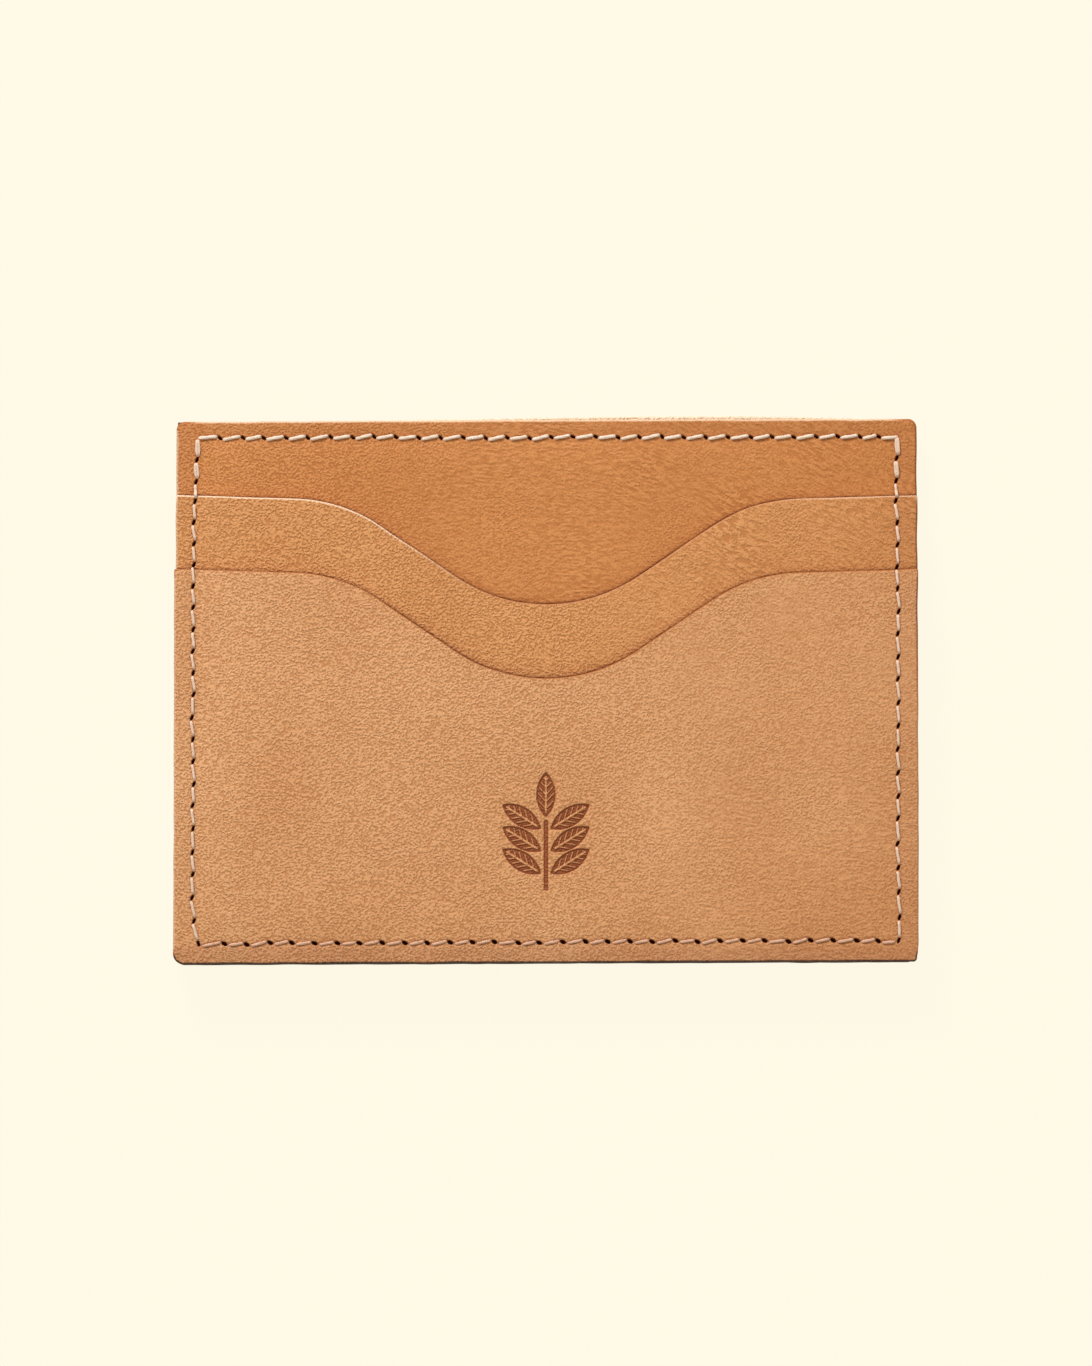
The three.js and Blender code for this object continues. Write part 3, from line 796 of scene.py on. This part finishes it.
def outer_path(row, k, side, shift=0.0, extra=0.0):
    """The middle of a stitch on an outer face, and how far each point is sunk in a hole."""
    w = stitch_steps()
    a, b = row.starts[k], row.ends[k]
    across = np.array([-(b - a)[1], (b - a)[0]]) / np.linalg.norm(b - a)
    plan = a + w[:, None] * (b - a) + across * shift * np.sin(math.pi * w)[:, None] ** 0.5
    x, y = plan[:, 0], plan[:, 1]
    bend = np.abs(2 * w - 1) ** 10
    height = (row.proud + SINK[side] + extra) * (1 - bend) - DIVE * bend
    z = face_level(side, x, y) + side * height + crown(side, x, y)
    return np.stack([x, y, z], 1), smooth(0.3, 0.7, bend)


def inner_path(row, k, side):
    """The middle of a stitch sunk in the inner face of a base panel."""
    low, high = box_mm(WORDS[side] + "_base_panel")
    inner = low[2] if side == FRONT else high[2]
    w = stitch_steps()
    x, y = (row.starts[k] + w[:, None] * (row.ends[k] - row.starts[k])).T
    depth = 0.08 + 0.3 * np.abs(2 * w - 1) ** 9
    return np.stack([x, y, inner + side * depth + crown(side, x, y)], 1), w * 0


def build_thread(node, stitches, material):
    """All the stitches of a thread, from ((path, sunk), radius, stain) for each."""
    rng = np.random.default_rng(len(node))
    points, faces, tones, stains, depths = [], [], [], [], []
    start = 0
    for (path, sunk), radius, stain in stitches:
        ring, quads = rope(path, radius * rng.uniform(0.94, 1.05), rng.uniform(0, 6))
        points.append(ring)
        faces += [[start + p for p in quad] for quad in quads]
        tones.append(np.full(len(ring), rng.uniform(0, 1)))
        stains.append(np.full(len(ring), stain))
        depths += [np.repeat(sunk, PLY_SECTION), sunk[[0, -1]]]
        start += len(ring)
    marks = {"tone": tones, "stain": stains, "sunk": depths}
    make_object(
        node + "_stitches", np.concatenate(points), faces, material,
        attributes={key: np.concatenate(values) for key, values in marks.items()},
        replaces=[node],
    )


INNER_THREAD = 0.18
DOUBLED = {("left", 0), ("left", 1), ("right", RIGHT_STITCHES - 1), ("right", RIGHT_STITCHES - 2)}
STAINS = {"left": 0.3, "right": 0.3, "bottom": 0.8, "top": 0.05}


def outer_stitches(side, names):
    """Each stitch of some rows; the backstitched ones at the top have two strands."""
    for name in names:
        row = ROWS[name]
        for k in range(len(row.starts)):
            strands = [(0.0, 0.0)]
            if (name, k) in DOUBLED:
                strands = [(0.17, 0.02), (-0.15, 0.08 if side == FRONT else 0.02)]
            for shift, extra in strands:
                yield outer_path(row, k, side, shift, extra), row.thread, STAINS[name]


def build_threads(material):
    """The needle and bobbin threads of the two top rows and of the outer seam."""
    top = ROWS["top"]
    for side, word in WORDS.items():
        build_thread(word + "_top_seam_needle_thread", outer_stitches(side, ["top"]), material)
        inner = [(inner_path(top, k, side), INNER_THREAD, 0.1) for k in range(len(top.starts))]
        build_thread(word + "_top_seam_bobbin_thread", inner, material)
    outer_rows = ["left", "bottom", "right"]
    build_thread("outer_seam_needle_thread", outer_stitches(FRONT, outer_rows), material)
    build_thread("outer_seam_bobbin_thread", outer_stitches(REAR, outer_rows), material)


# ---------------------------------------------------------------- material nodes

def linear(red, green, blue):
    """A Blender colour from an sRGB one in 0 to 255."""
    def one(c):
        c /= 255
        return c / 12.92 if c <= 0.04045 else ((c + 0.055) / 1.055) ** 2.4
    return (one(red), one(green), one(blue), 1.0)


def scaled(colour, shares):
    """A colour with each channel taken by its share."""
    return tuple(min(c * k, 1.0) for c, k in zip(colour, shares)) + (1.0,)


class Nodes:
    """Short calls for building a node tree."""

    def __init__(self, material):
        material.use_nodes = True
        self.tree = material.node_tree
        self.tree.nodes.clear()

    def add(self, kind, inputs=None, **settings):
        node = self.tree.nodes.new("ShaderNode" + kind)
        for key, value in settings.items():
            setattr(node, key, value)
        for key, value in (inputs or {}).items():
            self.feed(value, node.inputs[key])
        return node

    def feed(self, value, socket):
        if isinstance(value, bpy.types.NodeSocket):
            self.tree.links.new(value, socket)
        elif value is not None:
            socket.default_value = value

    def math(self, operation, a, b=None, c=None):
        return self.add("Math", {0: a, 1: b, 2: c}, operation=operation).outputs[0]

    def times(self, a, b):
        return self.math("MULTIPLY", a, b)

    def mix(self, factor, a, b, blend="MIX"):
        node = self.add("Mix", data_type="RGBA", blend_type=blend, clamp_factor=True)
        self.feed(factor, node.inputs[0])
        self.feed(a, node.inputs[6])
        self.feed(b, node.inputs[7])
        return node.outputs[2]

    def attribute(self, name):
        return self.add("Attribute", attribute_name=name).outputs["Fac"]

    def blend(self, factor, a, b):
        """A number that goes from a to b."""
        return self.math("MULTIPLY_ADD", self.math("SUBTRACT", b, a), factor, a)

    def remap(self, value, low, high, to_low=0.0, to_high=1.0):
        return self.add("MapRange", {
            "Value": value, "From Min": low, "From Max": high,
            "To Min": to_low, "To Max": to_high,
        }, clamp=True).outputs[0]

    def coords(self):
        """Object coordinates in millimetres."""
        out = self.add("TexCoord").outputs["Object"]
        return self.add("VectorMath", {0: out, "Scale": 1 / MM}, operation="SCALE").outputs[0]

    def warp(self, vector, seed_offset, scale, amount):
        noise = self.add("TexNoise", {"Scale": scale, "Detail": 2.0, "Vector": self.add(
            "VectorMath", {0: vector, 1: (seed_offset, 2.1 * seed_offset, 0)}, operation="ADD",
        ).outputs[0]})
        centred = self.add(
            "VectorMath", {0: noise.outputs["Color"], 1: (0.5, 0.5, 0.5)}, operation="SUBTRACT",
        ).outputs[0]
        return self.add("VectorMath", {
            0: centred, 1: (amount, amount, amount), 2: vector,
        }, operation="MULTIPLY_ADD").outputs[0]

    def stretched(self, vector, angle, along, across):
        """Coordinates turned by an angle and scaled, so that a texture runs along it."""
        return self.add("Mapping", {
            "Vector": vector, "Rotation": (0, 0, angle),
            "Scale": (1 / along, 1 / across, 1 / across),
        }, vector_type="TEXTURE").outputs[0]

    def noise(self, vector, scale, detail=3.0, rough=0.5):
        return self.add("TexNoise", {
            "Vector": vector, "Scale": scale, "Detail": detail, "Roughness": rough,
        }).outputs["Fac"]


GRAIN_RELIEF = 0.08 * MM
LEVEL_ANGLE, SLANTED_ANGLE = math.radians(-3), math.radians(-28)


def folds(n, at, angle):
    """Fine folds that run at an angle, from 0 to 1."""
    wide = n.noise(n.stretched(at, angle, 0.95, 2.5), 1.0, 0.0)
    both = n.math("MULTIPLY_ADD", n.noise(at, 3.6, 0.0), 0.5, wide)
    return n.remap(both, 0.57, 0.93)


def grain(n, at):
    """Height of the grain from 0 to 1: fine worm-like pebbles that draw out into folds."""
    bent = n.warp(n.warp(at, 3.0, 0.25, 0.9), 9.0, 1.1, 0.2)
    worm = n.math("ABSOLUTE", n.math("SUBTRACT", n.noise(bent, 2.0, 0.0), 0.5))
    pebble = n.math("SUBTRACT", n.noise(bent, 3.3, 0.0), n.times(worm, 0.7))
    pebble = n.remap(pebble, 0.22, 0.6)
    height = n.blend(n.attribute("level_grain"), pebble, folds(n, bent, LEVEL_ANGLE))
    return n.blend(n.attribute("slanted_grain"), height, folds(n, bent, SLANTED_ANGLE))


# The leather's tones, as shares of its colour, and the colours of its marks
MOTTLE = ((0.97, 0.96, 0.95), (1.03, 1.035, 1.04))
# the grain's hollows are painted darker and its tops lighter: painted shade and painted light
GRAIN_SHADE_AND_LIGHT = ((0.87, 0.79, 0.69, 1.0), (1.13, 1.2, 1.28, 1.0))
SHADED = (0.87, 0.77, 0.67)
MARGIN_BROWN, MARGIN_SHARE = linear(150, 90, 64), 0.32
SEAM_BROWN, SEAM_SHARE = linear(160, 90, 50), 0.35
# the colour of the painted shade where a mouth lies over a panel
CONTACT_SHADE_BROWN = linear(100, 44, 12)
# the colour of the painted shade inside the holes
HOLE_SHADE_BROWN = linear(84, 26, 10)
STAMP_SHARE = 0.93


def leather_material(name, base, seed, relief_share):
    """Vegetable-tanned leather: grain, mottling, darkened margins and worked edges, with painted
    shade under the mouths, in the grain's hollows and in the holes, and painted light on the
    grain's tops.
    """
    material = bpy.data.materials.new(name)
    n = Nodes(material)
    at = n.add("VectorMath", {0: n.coords(), 1: (seed * 37.0, seed * 11.0, 0)}).outputs[0]
    height = grain(n, at)
    bump = n.add("Bump", {
        "Height": height, "Strength": 1.0, "Distance": GRAIN_RELIEF * relief_share,
    })

    mottle = n.remap(n.noise(at, 0.09, 3.0, 0.55), 0.3, 0.7)
    colour = n.mix(mottle, scaled(base, MOTTLE[0]), scaled(base, MOTTLE[1]))
    colour = n.mix(n.attribute("shade"), colour, scaled(base, SHADED))
    colour = n.mix(n.times(n.attribute("margin"), MARGIN_SHARE), colour, MARGIN_BROWN)
    # painted shade in the grain's hollows, painted light on its tops
    colour = n.mix(1.0, colour, n.mix(height, *GRAIN_SHADE_AND_LIGHT), "MULTIPLY")
    colour = n.mix(n.times(n.attribute("seam"), SEAM_SHARE), colour, SEAM_BROWN)
    # painted shade where a mouth lies over the panel: a dark line and a softer shadow
    colour = n.mix(n.attribute("contact_shade"), colour, CONTACT_SHADE_BROWN)
    # the sprig's scorched colour, darker still in a band inside its outline, which is also painted
    # shade at its walls
    scorch_and_shade_colour = n.mix(n.noise(at, 1.6, 3.0), linear(156, 76, 32), linear(190, 106, 52))
    scorch_and_shade_colour = n.mix(n.attribute("scorch_and_shade"), scorch_and_shade_colour, linear(118, 52, 22))
    colour = n.mix(n.times(n.attribute("stamp"), STAMP_SHARE), colour, scorch_and_shade_colour)
    layered = n.add("VectorMath", {0: at, 1: (1, 1, 4)}, operation="MULTIPLY").outputs[0]
    fibres = n.noise(layered, 2.2)
    fibres = n.remap(fibres, 0.3, 0.7)
    raw = n.mix(fibres, linear(236, 204, 172), linear(252, 232, 208))
    tan = n.mix(fibres, linear(184, 120, 72), linear(206, 148, 102))
    pale = n.attribute("pale")
    # the darkest edge colour: burnish, and along the bottom painted shade too
    worked = n.mix(n.remap(pale, 0.0, 0.3), linear(34, 16, 12), linear(168, 92, 34))
    worked = n.mix(n.remap(pale, 0.3, 0.55), worked, tan)
    worked = n.mix(n.remap(pale, 0.55, 1.0), worked, raw)
    colour = n.mix(n.remap(n.attribute("edge"), 0.35, 0.72, 0.0, 0.92), colour, worked)
    flesh = n.mix(n.noise(at, 2.5, 4.0, 0.7), linear(176, 128, 88), linear(214, 172, 128))
    colour = n.mix(n.attribute("back"), colour, flesh)
    # painted shade inside the holes; Metallic below keeps them from reflecting light
    colour = n.mix(n.attribute("hole"), colour, HOLE_SHADE_BROWN)

    rough = n.remap(height, 0.0, 1.0, 0.58, 0.5)
    rough = n.math("ADD", rough, n.times(n.attribute("hole"), 0.35))
    shader = n.add("BsdfPrincipled", {
        "Base Color": colour, "Roughness": rough, "Specular IOR Level": 0.25,
        "Metallic": n.times(n.attribute("hole"), 0.8), "Normal": bump.outputs[0],
    })
    n.add("OutputMaterial", {"Surface": shader.outputs[0]})
    return material


def thread_material():
    """Waxed ecru thread: three plies with fine fibres, stained towards the leather's colour, and
    painted near black where it goes down into a hole: painted shade.
    """
    material = bpy.data.materials.new("ecru_thread")
    n = Nodes(material)
    at = n.coords()
    fibre = n.noise(n.stretched(at, 0.5, 1.0, 3.0), 5.0, 3.0, 0.7)
    colour = n.mix(n.attribute("tone"), linear(239, 219, 199), linear(245, 225, 211))
    colour = n.mix(n.remap(fibre, 0.35, 0.75, 0.0, 0.5), colour, linear(214, 182, 152))
    colour = n.mix(n.attribute("stain"), colour, linear(211, 158, 126))
    # painted shade where the thread goes down into a hole; Metallic below keeps it from reflecting
    # there
    colour = n.mix(n.attribute("sunk"), colour, linear(30, 9, 4))
    bump = n.add("Bump", {"Height": fibre, "Strength": 1.0, "Distance": 0.03 * MM})
    shader = n.add("BsdfPrincipled", {
        "Base Color": colour, "Roughness": 0.66, "Specular IOR Level": 0.3,
        "Metallic": n.attribute("sunk"), "Normal": bump.outputs[0],
    })
    n.add("OutputMaterial", {"Surface": shader.outputs[0]})
    return material


def glue_material():
    """Contact cement: amber brown, with fine lumps."""
    material = bpy.data.materials.new("contact_cement")
    n = Nodes(material)
    at = n.coords()
    lumps = n.noise(at, 1.4, 4.0, 0.6)
    colour = n.mix(lumps, linear(86, 56, 36), linear(138, 96, 60))
    bump = n.add("Bump", {"Height": lumps, "Strength": 0.6, "Distance": 0.05 * MM})
    shader = n.add("BsdfPrincipled", {
        "Base Color": colour, "Roughness": n.remap(lumps, 0.3, 0.7, 0.35, 0.6),
        "Normal": bump.outputs[0],
    })
    n.add("OutputMaterial", {"Surface": shader.outputs[0]})
    return material


# ---------------------------------------------------------------- the object

LOWER_COLOUR = linear(216, 158, 110)
UPPER_COLOUR = linear(211, 147, 92)
BASE_COLOUR = linear(204, 135, 78)
FRONT_BOTTOM_TRIM = 0.12
LOWER_OVERHANG = 0.15                    # how far the lower pocket stands out on the left


def side_panels(side, seed):
    """The three layers of one side, from the outermost in."""
    word = WORDS[side]
    lower_edge = box_mm(word + "_lower_pocket")[1][1]
    upper_edge = box_mm(word + "_upper_pocket")[1][1]
    lower = Panel(word + "_lower_pocket", side, SIDE_ROWS, mouth=lower_edge, seed=seed)
    upper = Panel(
        word + "_upper_pocket", side, SIDE_ROWS,
        mouth=upper_edge, cover=lower_edge, seed=seed + 2,
    )
    base = Panel(
        word + "_base_panel", side, [*SIDE_ROWS, ROWS["top"]], cover=upper_edge, seed=seed + 4,
    )
    lower.wrinkled = (0.5, 0.25)
    upper.wrinkled = (0.0, 0.85)
    base.wrinkled = (0.9, 0.9)
    if side == FRONT:
        lower.stamp = True
        for panel in (lower, upper, base):
            panel.bottom_trim = FRONT_BOTTOM_TRIM
            panel.corner = (1.5, 0.4)
            panel.corner_slant = 0.3
            panel.left_trim = 0.0 if panel is lower else LOWER_OVERHANG
        base.top_trim = 0.07
    else:
        base.top_trim = 0.05
        base.top_bulge = 0.55
        for panel in (lower, upper, base):
            panel.right_bulge = 0.12
            panel.left_trim = 0.1
            panel.corner_slant = 0.15
    return lower, upper, base


def build_holder():
    for side, seed in ((FRONT, 3), (REAR, 13)):
        lower, upper, base = side_panels(side, seed)
        for panel, colour, kind, share in (
            (lower, LOWER_COLOUR, "lower_pocket", 1.0),
            (upper, UPPER_COLOUR, "upper_pocket", 1.1),
            (base, BASE_COLOUR, "base_panel", 0.85),
        ):
            name = f"{WORDS[side]}_{kind}_leather"
            leather = leather_material(name, colour, panel.seed, share)
            build_panel(panel, leather)
    build_threads(thread_material())
    glue = glue_material()
    for node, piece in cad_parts.items():
        if "glue" in node:
            piece.data.materials.clear()
            piece.data.materials.append(glue)


# ---------------------------------------------------------------- stage, lights and camera

BACKDROP = linear(255, 249, 231)
FLOOR_RADIUS, FLOOR_DROP = 3.0, 0.0002   # in metres
WORLD_STRENGTH = 0.44


def backdrop_material():
    """A pale sheet that glows evenly, with a trace of shadow under the holder."""
    material = bpy.data.materials.new("pale_sheet")
    n = Nodes(material)
    out = n.add("TexCoord").outputs["Object"]
    away = n.add("VectorMath", {0: out}, operation="LENGTH").outputs["Value"]
    share = n.remap(away, 0.06, 0.2, 0.03, 0.0)
    glow = n.add("Emission", {"Color": BACKDROP, "Strength": 1.0})
    cloth = n.add("BsdfDiffuse", {"Color": BACKDROP})
    lit = n.add("MixShader", {0: share, 1: glow.outputs[0], 2: cloth.outputs[0]})
    clear = n.add("BsdfTransparent")
    below = n.add("NewGeometry").outputs["Backfacing"]
    shown = n.add("MixShader", {0: below, 1: lit.outputs[0], 2: clear.outputs[0]})
    n.add("OutputMaterial", {"Surface": shown.outputs[0]})
    return material


def build_stage():
    """The sheet that the holder lies on, and an even light all round."""
    bpy.ops.mesh.primitive_circle_add(vertices=96, radius=FLOOR_RADIUS, fill_type="NGON")
    floor = bpy.context.object
    floor.name = "floor"
    floor.location.z = -FLOOR_DROP
    floor.data.materials.append(backdrop_material())
    world = bpy.data.worlds.new("studio")
    bpy.context.scene.world = world
    world.use_nodes = True
    background = world.node_tree.nodes["Background"]
    background.inputs["Color"].default_value = BACKDROP
    background.inputs["Strength"].default_value = WORLD_STRENGTH


def add_light(name, place_m, size, power):
    """A square lamp that faces the holder."""
    data = bpy.data.lights.new(name, "AREA")
    data.shape = "SQUARE"
    data.size = size
    data.energy = power
    lamp = bpy.data.objects.new(name, data)
    bpy.context.scene.collection.objects.link(lamp)
    lamp.location = place_m
    lamp.rotation_euler = (-Vector(place_m)).to_track_quat("-Z", "Y").to_euler()


LENS, SENSOR = 150.0, 36.0
VIEW_HEIGHT = 183.9                      # what the picture's height takes in, in mm
VIEW_MIDDLE_Y = 1.1                      # the picture's middle lies this far above the holder's
VIEW_TILT = math.radians(2.5)            # the camera leans towards the holder's bottom edge


def build_camera():
    data = bpy.data.cameras.new("camera")
    data.lens = LENS
    data.sensor_width = SENSOR
    data.clip_end = 20
    camera = bpy.data.objects.new("camera", data)
    bpy.context.scene.collection.objects.link(camera)
    distance = LENS / SENSOR * VIEW_HEIGHT
    back = Vector((0, -math.sin(VIEW_TILT), math.cos(VIEW_TILT))) * distance
    camera.location = (Vector((0, VIEW_MIDDLE_Y, BASE_HIGH[2])) + back) * MM
    camera.rotation_euler = (VIEW_TILT, 0, 0)
    bpy.context.scene.camera = camera


build_camera()
build_stage()
add_light("key", (-0.3, 0.8, 0.5), size=0.3, power=9.6)
add_light("fill", (0.3, -0.5, 0.8), size=0.8, power=1.2)
build_holder()

bpy.context.scene.view_settings.view_transform = "Standard"
